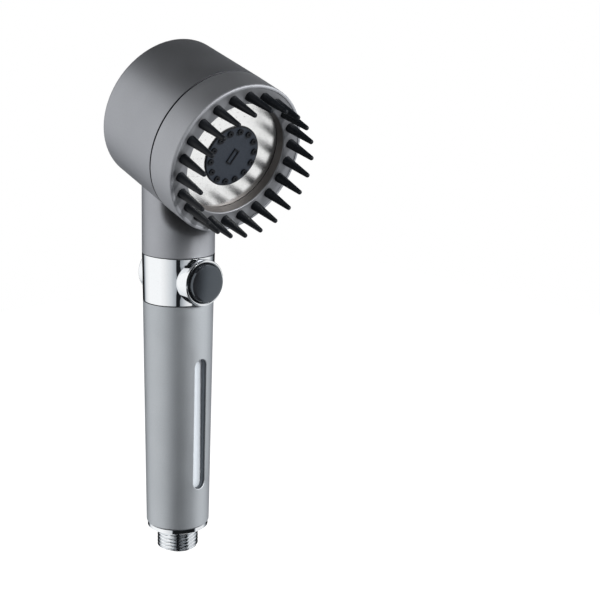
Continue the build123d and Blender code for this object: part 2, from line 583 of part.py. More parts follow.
def handle_tube():
    """Tapered grip with a long window cut through its front wall."""
    top = HANDLE_LENGTH - REVEAL
    counterbore = SPIGOT_RADIUS + ASSEMBLY_GAP
    grip = spun(
        (HANDLE_BORE, FLANGE), (HANDLE_END_RADIUS, FLANGE), (HANDLE_TOP_RADIUS, top),
        (counterbore, top), (counterbore, SPIGOT_BOTTOM), (HANDLE_BORE, SPIGOT_BOTTOM))
    grip = fillet(rims(grip, HANDLE_END_RADIUS, FLANGE), HANDLE_END_EDGE)
    middle = (WINDOW_LOW + WINDOW_HIGH) / 2
    outline = Pos(0, middle) * Rot(0, 0, 90) * SlotOverall(WINDOW_HIGH - WINDOW_LOW, WINDOW_WIDTH)
    grip -= extrude(Plane.XZ * outline, FAR)
    mouth = [edge for edge in grip.edges() if -edge.center().Y > HANDLE_BORE + HANDLE_WALL / 2
             and WINDOW_LOW - MATCH < edge.center().Z < WINDOW_HIGH + MATCH]
    return Rot(0, 0, WINDOW_TURN) * fillet(mouth, WINDOW_EDGE)


def clear_liner():
    """Clear tube that holds the water behind the window."""
    return tube(LINER_RADIUS, LINER_BORE, LINER_LOW, LINER_HIGH)


def liner_gaskets():
    """Flat seals at the two ends of the liner."""
    lower = tube(LINER_RADIUS, LINER_BORE, FITTING_LENGTH, LINER_LOW)
    upper = tube(LINER_RADIUS, LINER_BORE, LINER_HIGH, SPIGOT_BOTTOM)
    return [lower, upper]


def filter_cap(low, high, inner_face):
    """End cap of the filter, with a ring of water ports and a spigot into the core."""
    cap = tube(CAP_RADIUS, 0, low, high)
    port = tube(CAP_PORT, 0, low, high)
    cap -= around(port, CAP_PORT_CIRCLE, [360 / CAP_PORTS * step for step in range(CAP_PORTS)])
    spigot = tube(FILTER_CORE - ASSEMBLY_GAP, 0, inner_face - CAP_RIM, inner_face + CAP_RIM)
    return cap + spigot


def filter_cap_lower():
    """Lower cap, which stands on the inlet fitting."""
    return filter_cap(FITTING_LENGTH, FITTING_LENGTH + CAP_HEIGHT, FITTING_LENGTH + CAP_HEIGHT)


def filter_cap_upper():
    """Upper cap, which meets the valve body's spigot."""
    return filter_cap(SPIGOT_BOTTOM - CAP_HEIGHT, SPIGOT_BOTTOM, SPIGOT_BOTTOM - CAP_HEIGHT)


def filter_core():
    """Wound white filter between the two caps."""
    low = FITTING_LENGTH + CAP_HEIGHT
    return tube(FILTER_RADIUS, FILTER_CORE, low, SPIGOT_BOTTOM - CAP_HEIGHT)


def inlet_fitting():
    """End fitting with the hose thread, the hose shoulder and the spigot into the handle."""
    spigot = HANDLE_BORE - ASSEMBLY_GAP
    screen_bore = INLET_BORE + SCREEN_STEP
    return spun(
        (INLET_BORE, -THREAD_LENGTH), (THREAD_RADIUS - THREAD_LEAD, -THREAD_LENGTH),
        (THREAD_RADIUS, THREAD_LEAD - THREAD_LENGTH), (THREAD_RADIUS, 0), (FLANGE_RADIUS, 0),
        (FLANGE_RADIUS, FLANGE), (spigot, FLANGE), (spigot, FITTING_LENGTH),
        (screen_bore, FITTING_LENGTH), (screen_bore, SCREEN_HEIGHT), (INLET_BORE, SCREEN_HEIGHT))


def inlet_screen():
    """Perforated disc that stops grit in the inlet."""
    disc = tube(INLET_BORE + SCREEN_STEP - ASSEMBLY_GAP, 0, SCREEN_HEIGHT, SCREEN_HEIGHT + SCREEN)
    hole = tube(SCREEN_HOLE, 0, SCREEN_HEIGHT, SCREEN_HEIGHT + SCREEN)
    for circle, count in SCREEN_CIRCLES:
        disc -= around(hole, circle, [360 / count * step for step in range(count)])
    return disc


PIECES = (
    head_shell, diverter_seat, seat_o_ring, seat_screws, port_seal, seal_spring, thrust_washer,
    pivot_screw, front_ring, massage_comb, spray_plate, nozzle_disc, rotor, plate_gasket,
    ring_screws, chrome_collar, valve_body, neck_o_ring, handle_o_ring, valve_spool,
    spool_o_rings, stop_button, release_button, handle_tube, clear_liner, liner_gaskets,
    filter_cap_lower, filter_cap_upper, filter_core, inlet_fitting, inlet_screen)

os.makedirs("parts", exist_ok=True)
for piece in PIECES:
    made = piece()
    shape = Compound(children=made) if isinstance(made, list) else made
    export_step(shape, f"parts/{piece.__name__}.step")
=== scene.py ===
import json
import math

import bpy
from mathutils import Matrix, Vector


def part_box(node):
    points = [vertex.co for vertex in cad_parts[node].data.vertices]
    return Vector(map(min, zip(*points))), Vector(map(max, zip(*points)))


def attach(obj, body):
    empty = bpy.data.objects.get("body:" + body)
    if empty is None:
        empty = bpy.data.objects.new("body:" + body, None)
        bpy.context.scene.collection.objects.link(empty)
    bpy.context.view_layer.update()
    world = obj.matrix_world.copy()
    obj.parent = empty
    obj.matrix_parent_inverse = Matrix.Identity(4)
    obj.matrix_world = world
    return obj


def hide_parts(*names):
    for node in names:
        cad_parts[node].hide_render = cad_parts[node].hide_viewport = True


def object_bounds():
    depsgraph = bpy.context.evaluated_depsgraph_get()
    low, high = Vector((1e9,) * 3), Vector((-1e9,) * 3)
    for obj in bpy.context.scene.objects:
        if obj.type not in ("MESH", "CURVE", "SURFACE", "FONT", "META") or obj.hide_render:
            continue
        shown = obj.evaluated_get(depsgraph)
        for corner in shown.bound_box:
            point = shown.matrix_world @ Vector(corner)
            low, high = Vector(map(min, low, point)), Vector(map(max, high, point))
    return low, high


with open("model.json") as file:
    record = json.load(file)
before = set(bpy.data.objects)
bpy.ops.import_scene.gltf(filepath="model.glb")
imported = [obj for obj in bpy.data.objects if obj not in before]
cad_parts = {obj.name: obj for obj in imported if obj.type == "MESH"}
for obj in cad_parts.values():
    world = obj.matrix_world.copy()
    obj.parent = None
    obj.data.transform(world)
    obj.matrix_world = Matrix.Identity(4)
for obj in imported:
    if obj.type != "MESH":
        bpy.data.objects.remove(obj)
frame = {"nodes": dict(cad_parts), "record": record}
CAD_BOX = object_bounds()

bl_info = {
    "name": "Filter Shower Handset",
    "version": (1, 0, 0),
    "blender": (4, 5, 0),
    "location": "3D View > Sidebar > Handset",
    "description": "Finishes, fine pieces and a studio for a handheld shower head",
    "category": "Object",
}

MM = 0.001
WHITE = (1, 1, 1, 1)
# Angles in degrees
RIGHT_ANGLE = 90
HALF_TURN = 180

# From the part's own record
JOINTS = {joint["name"]: joint for joint in frame["record"]["behaviour"]["joints"]}
FRONT_CENTRE = Vector(JOINTS["mode_turn"]["pos_m"])
SPRAY = Vector(JOINTS["mode_turn"]["axis"]).normalized()
HOSE_MOUNT = next(mount for mount in frame["record"]["mounts"] if mount["name"] == "hose_inlet")

# Inputs and output of a Mix node by what it mixes
MIX_SOCKETS = {"FLOAT": (2, 3, 0), "RGBA": (6, 7, 2)}

# Gloss and grain of the finishes, and the milky tint of the liner
PAINT_METAL = 0.95
PAINT_ROUGH = 0.47
RING_ROUGH = 0.53
MATT_EDGE = 0.70
BUTTON_ROUGH = 0.10
BUTTON_INDEX = 1.85
BUTTON_GLOSS = (0.76, 0.88, 1.0)
INNER_ROUGH = 0.35
PLATE_ROUGH = (0.20, 0.26)
FASTENER_ROUGH = (0.2, 0.3)
STEEL_LINES = 4000.0
LINER_TINT = (0.70, 0.75, 0.80, 1)

# Where one finish gives way to the next: the width of the change, or where it starts and ends.
# FUNNEL_BLEND, SEAM_BLEND, DRUM_MARGINS, the window's depths and the disc's margins bound painted
# shade.
RIM_BLEND = 0.4 * MM
FUNNEL_BLEND = 0.3 * MM
SEAM_BLEND = 0.1 * MM
DRUM_MARGINS = (0.4 * MM, 0.1 * MM)
WINDOW_EDGE_DEPTHS = (0.25 * MM, 0.45 * MM)
WINDOW_WALL_DEPTHS = (1.0 * MM, 1.7 * MM)
NOZZLE_HEIGHTS = (0.05 * MM, 0.2 * MM)
DISC_EDGE_SHADE_MARGINS = (0.9 * MM, 0.3 * MM)

# Steps of the turned pieces, how full the thread is, and the angles from which an edge stays sharp
BEAD_TURN_STEPS = 128
BEAD_ARC_STEPS = 16
CAP_TURN_STEPS = 96
CAP_CROWN_STEPS = 12
INLET_TURN_STEPS = 144
THREAD_STEPS = 14
THREAD_FADE_STEPS = 10
THREAD_FULLNESS = 0.62
METAL_SHARP = 35
CAP_SHARP = 6

# The camera that the photograph was taken with: its place and aim in metres in the part's frame,
# and its lens and sensor in millimetres
CAMERA_PLACE = Vector((-0.371157, -0.497203, 0.271125))
CAMERA_AIM = Vector((0.082166, 0.0, 0.107571))
CAMERA_ROLL = math.radians(1.485)
CAMERA_LENS = 76.411
CAMERA_SENSOR = 36.0

# Lamps: the angles round from the camera and up, the distance, and the lamp's width
KEY_PLACE = (60, 21, 3.0)
KEY_SIZE = 0.7
FILL_PLACE = (18, 12, 1.2)
FILL_SIZE = 0.6

# The floor's white, and how far it is lifted where it shows
FLOOR_PALE = (0.80, 0.84)
FLOOR_LIFT = 0.8

# The tent by the angle round from the camera, in degrees: how bright its cloth is, the angles up
# between which it hangs, and how bright the low cloth is that hangs below TENT_LOW_EDGE. TENT_EDGE
# softens the edges, TENT_DARK is the rest of the tent, and TENT_SHADE tints the dim parts.
TENT_BRIGHT = ((-180, 0.01), (-140, 0.01), (-136, 0.30), (-131, 0.60), (-122, 0.92), (-106, 1.12),
               (-60, 1.12), (-47, 1.02), (-34, 0.88), (-21, 0.72), (-14, 0.57), (-7, 0.44),
               (-6, 0.015), (6, 0.015), (7, 0.36), (11, 0.44), (18, 0.64), (24, 0.80), (31, 0.92),
               (38, 1.0), (44, 1.0), (48, 0.04), (69, 0.04), (76, 0.95), (115, 0.95), (132, 0.4),
               (147, 0.02), (180, 0.01))
TENT_TOP = ((-180, 15), (-140, 22), (-115, 48), (-61, 43), (-57, 62), (-43, 62), (-39, 18),
            (-30, 8), (-6, -6), (6, -12.5), (65, -12.5), (69, 20), (84, 58), (122, 58), (134, 5),
            (180, 15))
TENT_BOTTOM = ((-180, -40), (-120, -55), (-60, -50), (-25, -30), (-6, -22), (6, -17.5),
               (65, -17.5), (70, -55), (118, -55), (180, -40))
TENT_LOW = ((-180, 0.85), (-135, 0.85), (-125, 0.0), (10, 0.0), (30, 0.3), (125, 0.3),
            (135, 0.85), (180, 0.85))
TENT_LOW_EDGE = -34
TENT_EDGE = 1.2
TENT_DARK = 0.012
TENT_SHADE = (0.86, 0.96, 1.06)
# Steps of the tent's sphere, round and up
TENT_SEGMENTS = 96
TENT_RINGS = 48

# The flag, a black sheet seen in reflections alone that paints the head's shadow on the neck, by
# the angle round from the camera: the heights in mm of its lower and upper edges
FLAG_EDGES = ((-33, 166.5, 174.5), (-29, 163, 174), (-25, 160.8, 173), (-20, 159.3, 172),
              (-14.7, 158, 171), (-4, 156.4, 169.5), (6.8, 155.2, 167.5), (18, 154.3, 165.5),
              (31, 153.8, 163.8), (44, 154, 163.2), (57, 154.6, 163), (70, 155.6, 163))
FLAG_BLACK = (0.004, 0.004, 0.004, 1)


class HandsetSizes(bpy.types.PropertyGroup):
    """Sizes of the fine pieces, and of the places where one finish gives way to another"""

    thread_radius: bpy.props.FloatProperty(
        name="Thread radius", description="Crest of the hose thread",
        default=HOSE_MOUNT["dims"]["r_mm"] * MM, unit="LENGTH")
    thread_pitch: bpy.props.FloatProperty(
        name="Thread pitch", description="Distance between turns of the hose thread",
        default=1.814 * MM, unit="LENGTH")
    thread_depth: bpy.props.FloatProperty(
        name="Thread depth", description="Crest to root of the hose thread",
        default=1.162 * MM, unit="LENGTH")
    thread_relief: bpy.props.FloatProperty(
        name="Thread relief", description="Plain stretch under the hose shoulder",
        default=1.3 * MM, unit="LENGTH")
    thread_lead: bpy.props.FloatProperty(
        name="Thread lead", description="Bevel at the start of the hose thread",
        default=0.8 * MM, unit="LENGTH")
    inlet_bore: bpy.props.FloatProperty(
        name="Inlet bore", description="Radius of the water way through the inlet",
        default=7.8 * MM, unit="LENGTH")
    screen_gap: bpy.props.FloatProperty(
        name="Screen gap", description="Gap round the screen in the inlet",
        default=0.2 * MM, unit="LENGTH")
    spigot_radius: bpy.props.FloatProperty(
        name="Spigot radius", description="Inlet inside the handle",
        default=13.4 * MM, unit="LENGTH")
    shoulder_edge: bpy.props.FloatProperty(
        name="Shoulder edge", description="Bevel on the edges of the hose shoulder",
        default=0.3 * MM, unit="LENGTH")
    bead_inside: bpy.props.FloatProperty(
        name="Bead inside", description="Inside of the bead on the front cup's lip",
        default=9.9 * MM, unit="LENGTH")
    bead_outside: bpy.props.FloatProperty(
        name="Bead outside", description="Outside of that bead",
        default=11.5 * MM, unit="LENGTH")
    bead_height: bpy.props.FloatProperty(
        name="Bead height", description="How far that bead stands out from the cup's lip",
        default=0.6 * MM, unit="LENGTH")
    button_edge: bpy.props.FloatProperty(
        name="Button edge", description="Width of the bevel round the stop button's face",
        default=1.1 * MM, unit="LENGTH")
    button_bevel: bpy.props.FloatProperty(
        name="Button bevel", description="How far that bevel drops",
        default=0.25 * MM, unit="LENGTH")
    button_rise: bpy.props.FloatProperty(
        name="Button rise", description="From the cup's lip to the stop button's face",
        default=3.3 * MM, unit="LENGTH")
    button_flare: bpy.props.FloatProperty(
        name="Button flare", description="How far the stop button's side spreads to its skirt",
        default=0.5 * MM, unit="LENGTH")
    button_crown: bpy.props.FloatProperty(
        name="Button crown", description="How far the stop button's face stands out in the middle",
        default=0.4 * MM, unit="LENGTH")
    button_skin: bpy.props.FloatProperty(
        name="Button skin", description="Wall of the hollow stop button",
        default=1.5 * MM, unit="LENGTH")
    button_socket: bpy.props.FloatProperty(
        name="Button socket", description="Outside of the socket behind the stop button",
        default=4.6 * MM, unit="LENGTH")
    button_stem: bpy.props.FloatProperty(
        name="Button stem", description="Hole for the spool's stem in that socket",
        default=3.05 * MM, unit="LENGTH")
    button_pole: bpy.props.FloatProperty(
        name="Button pole", description="Flat spot in the middle of the stop button's face",
        default=0.8 * MM, unit="LENGTH")
    grip_end_radius: bpy.props.FloatProperty(
        name="Grip end radius", description="Outside of the handle at its lower end",
        default=16.05 * MM, unit="LENGTH")
    rim_edge: bpy.props.FloatProperty(
        name="Rim edge", description="Rounding of the mode ring's front rim",
        default=0.8 * MM, unit="LENGTH")
    drum_radius: bpy.props.FloatProperty(
        name="Drum radius", description="Outside of the drum and the mode ring",
        default=37.2 * MM, unit="LENGTH")
    bead_radius: bpy.props.FloatProperty(
        name="Bead radius", description="Inside of the bead round the front face",
        default=35.6 * MM, unit="LENGTH")
    seam_depth: bpy.props.FloatProperty(
        name="Seam depth", description="From the front rim back to the seam behind the mode ring",
        default=16.45 * MM, unit="LENGTH")
    seam_edge: bpy.props.FloatProperty(
        name="Seam edge", description="From the seam's middle to where the paint starts",
        default=0.45 * MM, unit="LENGTH")
    funnel_depth: bpy.props.FloatProperty(
        name="Funnel depth", description="Rim down to where the funnel round the plate starts",
        default=1.1 * MM, unit="LENGTH")
    funnel_radius: bpy.props.FloatProperty(
        name="Funnel radius", description="Outer edge of the funnel round the plate",
        default=29.0 * MM, unit="LENGTH")
    disc_radius: bpy.props.FloatProperty(
        name="Disc radius", description="Edge of the nozzle disc",
        default=15.1 * MM, unit="LENGTH")
    disc_depth: bpy.props.FloatProperty(
        name="Disc depth", description="Rim down to the face of the nozzle disc",
        default=4.25 * MM, unit="LENGTH")


class HandsetFinishes(bpy.types.PropertyGroup):
    """Colours of the finishes"""

    head_paint: bpy.props.FloatVectorProperty(
        name="Head paint", description="Satin metallic paint on the drum and its neck",
        default=(0.385, 0.395, 0.42), min=0, max=1, subtype="COLOR")
    ring_paint: bpy.props.FloatVectorProperty(
        name="Ring paint", description="Satin metallic paint on the mode ring",
        default=(0.425, 0.435, 0.46), min=0, max=1, subtype="COLOR")
    # Painted shade: this darker colour on the dished face stands in for the shade between the
    # bristles.
    ring_face_shade: bpy.props.FloatVectorProperty(
        name="Ring face", description="Thinner paint on the dished face between the bristles",
        default=(0.29, 0.297, 0.315), min=0, max=1, subtype="COLOR")
    # Painted shade: the dark colour at the seam stands in for the shade in the gap behind the mode
    # ring.
    seam: bpy.props.FloatVectorProperty(
        name="Seam", description="Dark ground coat in the seam behind the mode ring",
        default=(0.06, 0.062, 0.07), min=0, max=1, subtype="COLOR")
    handle_paint: bpy.props.FloatVectorProperty(
        name="Handle paint", description="Satin metallic paint on the handle",
        default=(0.475, 0.50, 0.525), min=0, max=1, subtype="COLOR")
    chrome: bpy.props.FloatVectorProperty(
        name="Chrome", description="Plating on the collar",
        default=(0.81, 0.828, 0.845), min=0, max=1, subtype="COLOR")
    silicone: bpy.props.FloatVectorProperty(
        name="Silicone", description="Soft bristles of the massage comb",
        default=(0.006, 0.0075, 0.010), min=0, max=1, subtype="COLOR")
    disc: bpy.props.FloatVectorProperty(
        name="Nozzle disc", description="Rubbery centre disc of the spray face",
        default=(0.023, 0.028, 0.037), min=0, max=1, subtype="COLOR")
    # Black of the nozzles and the boss, which is also painted shade round the disc's edge.
    nozzle: bpy.props.FloatVectorProperty(
        name="Nozzles", description="Raised nozzles, boss and edge of the centre disc",
        default=(0.004, 0.005, 0.007), min=0, max=1, subtype="COLOR")
    # Painted shade: this darker, warmer colour stands in for the shade and the reflections in the
    # funnel round the plate.
    funnel: bpy.props.FloatVectorProperty(
        name="Funnel", description="Darker paint in the funnel round the plate",
        default=(0.150, 0.140, 0.135), min=0, max=1, subtype="COLOR")
    # Painted shade: the dark colours on the window's cut wall stand in for the shade in the slot.
    window_edge_shade: bpy.props.FloatVectorProperty(
        name="Window edge", description="Cut wall of the window near the outside",
        default=(0.018, 0.022, 0.028), min=0, max=1, subtype="COLOR")
    window_wall_shade: bpy.props.FloatVectorProperty(
        name="Window wall", description="Cut wall of the window near the liner",
        default=(0.10, 0.115, 0.135), min=0, max=1, subtype="COLOR")
    steel: bpy.props.FloatVectorProperty(
        name="Steel", description="Polished spray plate and the fasteners",
        default=(0.95, 0.95, 0.94), min=0, max=1, subtype="COLOR")
    button: bpy.props.FloatVectorProperty(
        name="Button", description="Stop button and release button",
        default=(0.010, 0.0105, 0.012), min=0, max=1, subtype="COLOR")
    filter: bpy.props.FloatVectorProperty(
        name="Filter", description="White felt of the filter",
        default=(0.82, 0.83, 0.84), min=0, max=1, subtype="COLOR")
    inner: bpy.props.FloatVectorProperty(
        name="Inner plastic", description="Moulded pieces inside the head and the collar",
        default=(0.70, 0.70, 0.68), min=0, max=1, subtype="COLOR")
    seal: bpy.props.FloatVectorProperty(
        name="Seal rubber", description="Rings, gaskets and the port seal",
        default=(0.020, 0.020, 0.021), min=0, max=1, subtype="COLOR")


class HandsetStage(bpy.types.PropertyGroup):
    """Studio round the part"""

    floor_height: bpy.props.FloatProperty(
        name="Floor height", description="Height of the floor in the part's frame",
        default=-1.6, unit="LENGTH")
    floor_size: bpy.props.FloatProperty(
        name="Floor size", description="Width of the floor", default=12.0, unit="LENGTH")
    tent_radius: bpy.props.FloatProperty(
        name="Tent radius", description="Radius of the cloth tent that reflections show",
        default=1.6, unit="LENGTH")
    flag_radius: bpy.props.FloatProperty(
        name="Flag radius", description="Distance of the black flag from the handle's axis",
        default=22 * MM, unit="LENGTH")
    fill: bpy.props.FloatProperty(
        name="Fill light", description="Even light from all round on matt surfaces",
        default=0.30, min=0)
    key_power: bpy.props.FloatProperty(
        name="Key power", description="Power of the lamp above on the right", default=92.0, min=0,
        unit="POWER")
    fill_power: bpy.props.FloatProperty(
        name="Fill power", description="Power of the lamp beside the camera", default=6.0, min=0,
        unit="POWER")


def add_node(tree, kind, inputs=None, **settings):
    """A shader node with its settings and the values of its inputs."""
    node = tree.nodes.new(kind)
    for name, value in settings.items():
        setattr(node, name, value)
    for socket, value in (inputs or {}).items():
        if isinstance(value, bpy.types.NodeSocket):
            tree.links.new(value, node.inputs[socket])
        else:
            node.inputs[socket].default_value = value
    return node


def calculate(tree, operation, *values):
    """The result of an operation on one or two values."""
    return add_node(tree, "ShaderNodeMath", dict(enumerate(values)), operation=operation).outputs[0]


def vector_math(tree, operation, inputs):
    """The outputs of an operation on vectors."""
    return add_node(tree, "ShaderNodeVectorMath", inputs, operation=operation).outputs


def map_range(tree, value, ends, **settings):
    """A value carried from one range to another."""
    node = add_node(tree, "ShaderNodeMapRange", {"Value": value, **ends}, **settings)
    return node.outputs["Result"]


def soft_step(tree, value, low, high):
    """A mask that goes from 0 to 1 as a value goes from low to high."""
    return map_range(tree, value, {"From Min": low, "From Max": high},
                     interpolation_type="SMOOTHSTEP")


def mix(tree, kind, factor, first, second):
    """A value or a colour between two others."""
    from_first, from_second, result = MIX_SOCKETS[kind]
    return add_node(tree, "ShaderNodeMix", {0: factor, from_first: first, from_second: second},
                    data_type=kind).outputs[result]


def own_place(tree):
    """The place on the object itself."""
    return add_node(tree, "ShaderNodeTexCoord").outputs["Object"]


def new_group(name, inputs, outputs):
    """A shader node group with its sockets, and what it is given and what it puts out."""
    group = bpy.data.node_groups.new(name, "ShaderNodeTree")
    for socket, kind, default in inputs:
        made = group.interface.new_socket(socket, in_out="INPUT", socket_type=kind)
        made.default_value = default
    for socket, kind in outputs:
        group.interface.new_socket(socket, in_out="OUTPUT", socket_type=kind)
    entry = group.nodes.new("NodeGroupInput")
    leave = group.nodes.new("NodeGroupOutput")
    return group, entry.outputs, leave.inputs


def fleck_group():
    """Fine flecks that lighten and darken a colour, with a height for the grain they make."""
    group, given, made = new_group(
        "Fleck",
        [("Colour", "NodeSocketColor", (0.5, 0.5, 0.5, 1)), ("Scale", "NodeSocketFloat", 3000),
         ("Strength", "NodeSocketFloat", 0.1)],
        [("Colour", "NodeSocketColor"), ("Height", "NodeSocketFloat")])
    noise = add_node(group, "ShaderNodeTexNoise",
                     {"Vector": own_place(group), "Scale": given["Scale"], "Detail": 3.0,
                      "Roughness": 0.6}).outputs["Fac"]
    swing = map_range(group, noise, {"From Min": 0.3, "From Max": 0.7, "To Min": -1.0,
                                     "To Max": 1.0})
    amount = calculate(group, "MULTIPLY", swing, given["Strength"])
    factor = calculate(group, "ADD", amount, 1.0)
    tinted = vector_math(group, "SCALE", {0: given["Colour"], "Scale": factor})
    group.links.new(tinted["Vector"], made["Colour"])
    group.links.new(noise, made["Height"])
    return group


def handling_group():
    """Broad soft marks of handling, as a roughness that drifts between two values."""
    group, given, made = new_group(
        "Handling marks",
        [("Low", "NodeSocketFloat", 0.3), ("High", "NodeSocketFloat", 0.4),
         ("Scale", "NodeSocketFloat", 40)],
        [("Roughness", "NodeSocketFloat")])
    noise = add_node(group, "ShaderNodeTexNoise",
                     {"Vector": own_place(group), "Scale": given["Scale"], "Detail": 5.0,
                      "Roughness": 0.55}).outputs["Fac"]
    mask = map_range(group, noise, {"From Min": 0.35, "From Max": 0.65})
    rough = map_range(group, mask, {"To Min": given["Low"], "To Max": given["High"]})
    group.links.new(rough, made["Roughness"])
    return group


def head_place_group():
    """Place on the head, in metres: distance in front of the rim and distance from the axis."""
    group, _, made = new_group(
        "Head place", [], [("Front", "NodeSocketFloat"), ("Radius", "NodeSocketFloat")])
    shifted = vector_math(group, "SUBTRACT", {0: own_place(group), 1: FRONT_CENTRE})["Vector"]
    front = vector_math(group, "DOT_PRODUCT", {0: shifted, 1: SPRAY})["Value"]
    axis_part = vector_math(group, "SCALE", {0: SPRAY, "Scale": front})["Vector"]
    across = vector_math(group, "SUBTRACT", {0: shifted, 1: axis_part})["Vector"]
    radius = vector_math(group, "LENGTH", {0: across})["Value"]
    group.links.new(front, made["Front"])
    group.links.new(radius, made["Radius"])
    return group


GROUP_MAKERS = {"Fleck": fleck_group, "Handling marks": handling_group,
                "Head place": head_place_group}


def place_group(tree, name, inputs=None):
    """An instance of a shared effect, which is made the first time it is asked for."""
    group = bpy.data.node_groups.get(name) or GROUP_MAKERS[name]()
    return add_node(tree, "ShaderNodeGroup", inputs, node_tree=group).outputs


def new_material(name, **sockets):
    """A node material with one Principled shader whose plain values are set on its sockets."""
    material = bpy.data.materials.new(name)
    material.use_nodes = True
    shader = material.node_tree.nodes["Principled BSDF"]
    for socket, value in sockets.items():
        shader.inputs[socket.replace("_", " ")].default_value = value
    return material, material.node_tree, shader


def textured(name, colour, flecks, marks, bump, **sockets):
    """A material with flecks in its colour, handling marks in its gloss and a fine grain."""
    material, tree, shader = new_material(name, **sockets)
    fleck_scale, fleck_strength = flecks
    low, high, mark_scale = marks
    strength, distance = bump
    fleck = place_group(tree, "Fleck", {"Colour": (*colour, 1), "Scale": fleck_scale,
                                        "Strength": fleck_strength})
    mark = place_group(tree, "Handling marks", {"Low": low, "High": high, "Scale": mark_scale})
    grain = add_node(tree, "ShaderNodeBump", {"Strength": strength, "Distance": distance,
                                              "Height": fleck["Height"]})
    tree.links.new(fleck["Colour"], shader.inputs["Base Color"])
    tree.links.new(mark["Roughness"], shader.inputs["Roughness"])
    tree.links.new(grain.outputs["Normal"], shader.inputs["Normal"])
    return material


def overlay(material, mask, colour):
    """Another colour where a mask is 1."""
    tree = material.node_tree
    base = tree.nodes["Principled BSDF"].inputs["Base Color"]
    tree.links.new(mix(tree, "RGBA", mask, base.links[0].from_socket, (*colour, 1)), base)


def satin_paint(name, colour, rough=PAINT_ROUGH):
    """Satin metallic paint with fine flake and a slight orange peel."""
    return textured(name, colour, flecks=(2600, 0.05), marks=(rough, rough + 0.05, 55),
                    bump=(0.06, 0.02 * MM), Metallic=PAINT_METAL)


def finish_edges(material, seam, sizes):
    """Rougher paint on the rim, and painted shade in the seam: a dark colour on the fillets on
    either side of the gap behind the mode ring, which also hides their highlight.
    """
    tree = material.node_tree
    place = place_group(tree, "Head place")
    forward = soft_step(tree, place["Front"], -sizes.rim_edge - RIM_BLEND, -sizes.rim_edge)
    outward = soft_step(tree, place["Radius"], sizes.bead_radius - RIM_BLEND, sizes.bead_radius)
    rim = calculate(tree, "MULTIPLY", forward, outward)
    rough = tree.nodes["Principled BSDF"].inputs["Roughness"]
    tree.links.new(mix(tree, "FLOAT", rim, rough.links[0].from_socket, MATT_EDGE), rough)
    # Painted shade on the fillets on either side of the seam, no further out than the drum's side.
    off_seam = calculate(tree, "ABSOLUTE", calculate(tree, "ADD", place["Front"], sizes.seam_depth))
    seam_shade_mask = soft_step(tree, off_seam, sizes.seam_edge + SEAM_BLEND, sizes.seam_edge)
    far, near = DRUM_MARGINS
    on_drum = soft_step(tree, place["Radius"], sizes.drum_radius + far, sizes.drum_radius + near)
    overlay(material, calculate(tree, "MULTIPLY", seam_shade_mask, on_drum), seam)
    return material


def ring_paint(colour, face, seam, funnel, sizes):
    """Satin paint of the mode ring, with painted shade: darker in the funnel that leads down to the
    spray plate, and on the dished face between the bristles.
    """
    material = finish_edges(satin_paint("ring_paint", colour, RING_ROUGH), seam, sizes)
    tree = material.node_tree
    place = place_group(tree, "Head place")
    start = -sizes.funnel_depth
    # Painted shade in the funnel round the plate.
    behind = soft_step(tree, place["Front"], start, start - FUNNEL_BLEND)
    within = soft_step(tree, place["Radius"], sizes.funnel_radius,
                       sizes.funnel_radius - FUNNEL_BLEND)
    overlay(material, calculate(tree, "MULTIPLY", behind, within), funnel)
    # Painted shade on the dished face between the bristles, in front of the funnel.
    forward = soft_step(tree, place["Front"], start - FUNNEL_BLEND, start)
    inside = soft_step(tree, place["Radius"], sizes.bead_radius, sizes.bead_radius - FUNNEL_BLEND)
    overlay(material, calculate(tree, "MULTIPLY", forward, inside), face)
    return material


def grip_paint(colour, edge, wall, sizes):
    """Satin paint of the handle, with painted shade on the cut wall of the window: near-black by
    the outside, dark grey further in, and not metallic there.
    """
    material = satin_paint("handle_paint", colour)
    tree = material.node_tree
    low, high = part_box("handle_tube")
    parts = add_node(tree, "ShaderNodeSeparateXYZ", {0: own_place(tree)}).outputs
    level = add_node(tree, "ShaderNodeCombineXYZ", {"X": parts["X"], "Y": parts["Y"]})
    radius = vector_math(tree, "LENGTH", {0: level.outputs[0]})["Value"]
    outside = map_range(tree, parts["Z"], {"From Min": low[2], "From Max": high[2],
                                           "To Min": sizes.grip_end_radius, "To Max": high[0]})
    depth = calculate(tree, "SUBTRACT", outside, radius)
    # Painted shade on the window's cut wall, by depth under the handle's outside.
    window_edge_shade_mask = soft_step(tree, depth, *WINDOW_EDGE_DEPTHS)
    overlay(material, window_edge_shade_mask, edge)
    overlay(material, soft_step(tree, depth, *WINDOW_WALL_DEPTHS), wall)
    metal = map_range(tree, window_edge_shade_mask, {"To Min": PAINT_METAL, "To Max": 0.0})
    tree.links.new(metal, tree.nodes["Principled BSDF"].inputs["Metallic"])
    return material


def chrome_plate(colour):
    """Bright plating with faint wiping marks."""
    return textured("chrome_plate", colour, flecks=(900, 0.01), marks=(0.025, 0.06, 70),
                    bump=(0.01, 0.01 * MM), Metallic=1.0)


def soft_silicone(name, colour):
    """Matt silicone with a dusty grain."""
    return textured(name, colour, flecks=(2200, 0.25), marks=(0.42, 0.55, 120),
                    bump=(0.12, 0.03 * MM), IOR=1.3)


